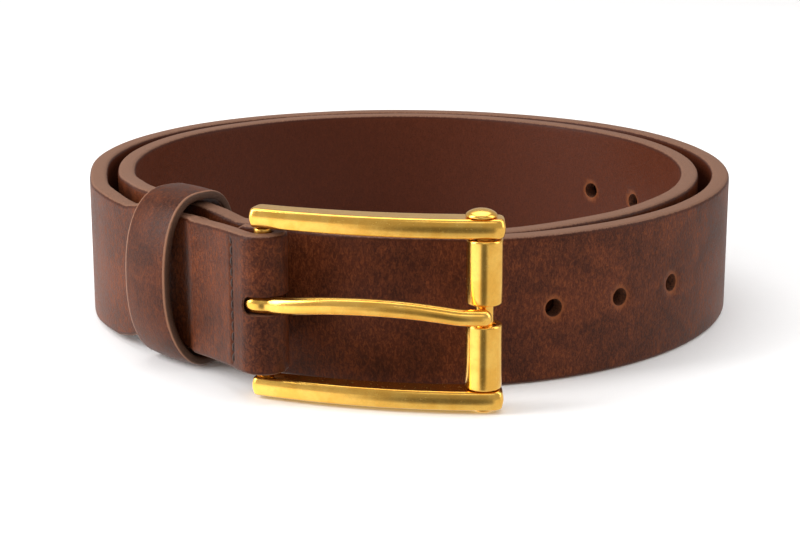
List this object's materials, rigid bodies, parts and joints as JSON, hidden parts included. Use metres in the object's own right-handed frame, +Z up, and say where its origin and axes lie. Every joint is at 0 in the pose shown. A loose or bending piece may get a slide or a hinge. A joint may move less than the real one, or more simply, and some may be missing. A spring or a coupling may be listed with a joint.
{
  "type": "leather belt",
  "caption": "Plain leather belt coiled on its edge, with a keeper loop and a brass roller buckle whose frame, prong and rollers turn.",
  "frame": {"origin": "on the floor, under the middle of the coiled belt", "axes": "+Z up, across the strap's width; -Y towards the buckle, which is at the front; +X to the right of someone who looks at the buckle"},
  "size_m": [0.1675, 0.183, 0.0459],
  "materials": {
    "strap_leather": "waxed full-grain leather, red brown with a fine mottled grain",
    "keeper_leather": "smoother waxed leather, dark red brown",
    "thread": "waxed dark brown thread",
    "brass": "satin brushed brass"
  },
  "bodies": {
    "strap": {"strap": "strap_leather", "fold_stitching": "thread"},
    "keeper": {"keeper": "keeper_leather", "keeper_stitching": "thread"},
    "buckle_frame": {"lower_arm": "brass", "upper_arm": "brass", "hinge_bar": "brass", "roller_post": "brass"},
    "lower_roller": {"lower_roller": "brass"},
    "upper_roller": {"upper_roller": "brass"},
    "prong": {"prong": "brass"}
  },
  "joints": [
    {"name": "keeper_slide", "type": "hinge", "parent": "strap", "child": "keeper", "pos_m": [0.0001, 0.0087, 0.02], "axis": [0, 0, -1], "range_deg": [-1, 2]},
    {"name": "frame_swing", "type": "hinge", "parent": "strap", "child": "buckle_frame", "pos_m": [-0.0325, -0.0752, 0.0227], "axis": [0, 0, -1], "range_deg": [-5, 25]},
    {"name": "prong_swing", "type": "hinge", "parent": "buckle_frame", "child": "prong", "pos_m": [-0.0325, -0.0752, 0.0227], "axis": [0, 0, -1], "range_deg": [0, 27]},
    {"name": "lower_roller_spin", "type": "hinge", "parent": "buckle_frame", "child": "lower_roller", "pos_m": [0.0162, -0.085, 0.0227], "axis": [0, 0, 1], "continuous": true},
    {"name": "upper_roller_spin", "type": "hinge", "parent": "buckle_frame", "child": "upper_roller", "pos_m": [0.0162, -0.085, 0.0227], "axis": [0, 0, 1], "continuous": true}
  ]
}
